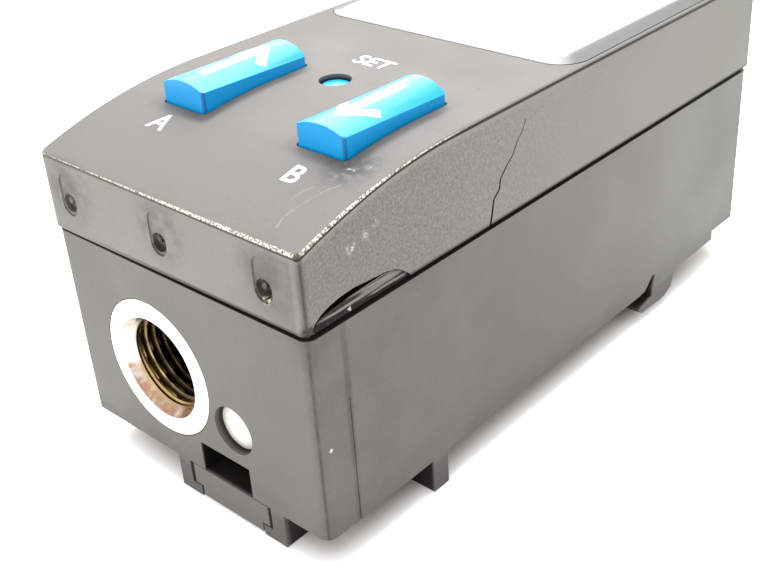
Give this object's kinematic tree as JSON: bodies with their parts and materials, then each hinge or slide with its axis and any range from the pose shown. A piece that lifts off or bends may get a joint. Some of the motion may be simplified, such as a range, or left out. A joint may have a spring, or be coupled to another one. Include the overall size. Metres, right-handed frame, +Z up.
{
  "type": "pneumatic pressure sensor",
  "caption": "Compact rail-mounted digital pressure sensor with a threaded air port, a display window, two blue arrow keys, a recessed key, a sprung rail latch and a round plug connector.",
  "frame": {"origin": "centre of the underside of the bounding box, level with the front feet", "axes": "+Z up through the display; +Y from the air port's face towards the plug connector; +X to the right seen from the port"},
  "size_m": [0.032, 0.081, 0.0354],
  "materials": {
    "housing_plastic": "fine-grained satin, light grey",
    "key_plastic": "glossy light blue, printed white arrows",
    "lens_clear": "clear hard-coated lens",
    "lens_tape": "thin white adhesive frame",
    "mask_print": "light printed film",
    "lcd_glass": "light reflective display glass",
    "light_guide": "clear white acrylic",
    "black_plastic": "fine black moulding",
    "latch_plastic": "smooth grey acetal",
    "silicone": "translucent light grey silicone",
    "contact_rubber": "conductive carbon rubber",
    "seal_rubber": "black nitrile rubber",
    "gasket_foam": "dark closed-cell foam",
    "nickel": "bright nickel plating on brass",
    "steel": "stainless steel",
    "screw_steel": "zinc-plated steel",
    "spring_steel": "bright spring wire",
    "gold": "gold plating",
    "sintered": "porous sintered bronze",
    "circuit_board": "green solder resist",
    "chips": "black epoxy with tinned ends",
    "flex_film": "amber polyimide film",
    "membrane": "white porous membrane"
  },
  "bodies": {
    "housing": {"base_housing": "housing_plastic", "lid_housing": "housing_plastic", "housing_gasket": "gasket_foam", "display_lens": "lens_clear", "lens_tape": "lens_tape", "display_mask": "mask_print", "lcd_panel": "lcd_glass", "lcd_backlight": "light_guide", "lcd_holder": "black_plastic", "contact_strip": "silicone", "main_board": "circuit_board", "board_screws": "screw_steel", "microcontroller": "chips", "board_components": "chips", "flex_cable": "flex_film", "flex_sockets": "black_plastic", "port_insert": "nickel", "port_seal": "seal_rubber", "inlet_screen": "sintered", "cell_seal": "seal_rubber", "sensor_cell": "steel", "sensor_retainer": "steel", "retainer_screws": "screw_steel", "sensor_board": "circuit_board", "sensor_leads": "gold", "vent_plug": "membrane", "connector_shell": "nickel", "connector_insulator": "black_plastic", "connector_pins": "gold", "connector_seal": "seal_rubber", "connector_nut": "nickel", "connector_board": "circuit_board", "board_header": "black_plastic", "keypad_mat": "silicone", "key_contacts": "gold", "edit_dome": "silicone", "key_a_dome": "silicone", "key_b_dome": "silicone", "latch_spring": "spring_steel"},
    "key_a": {"key_a": "key_plastic", "key_a_pill": "contact_rubber"},
    "key_b": {"key_b": "key_plastic", "key_b_pill": "contact_rubber"},
    "edit_key": {"edit_key": "key_plastic", "edit_pill": "contact_rubber"},
    "rail_latch": {"rail_latch": "latch_plastic"}
  },
  "joints": [
    {"name": "key_a_press", "type": "slide", "parent": "housing", "child": "key_a", "axis": [0, 0, -1], "range_m": [0, 0.0008], "stiffness_N_per_m": 1000, "springref_m": -0.0005, "deforming": ["key_a_dome"]},
    {"name": "key_b_press", "type": "slide", "parent": "housing", "child": "key_b", "axis": [0, 0, -1], "range_m": [0, 0.0008], "stiffness_N_per_m": 1000, "springref_m": -0.0005, "deforming": ["key_b_dome"]},
    {"name": "edit_key_press", "type": "slide", "parent": "housing", "child": "edit_key", "axis": [0, 0, -1], "range_m": [0, 0.0008], "stiffness_N_per_m": 1000, "springref_m": -0.0005, "deforming": ["edit_dome"]},
    {"name": "rail_latch_slide", "type": "slide", "parent": "housing", "child": "rail_latch", "axis": [0, -1, 0], "range_m": [0, 0.003], "stiffness_N_per_m": 600, "springref_m": -0.002, "deforming": ["latch_spring"]}
  ]
}
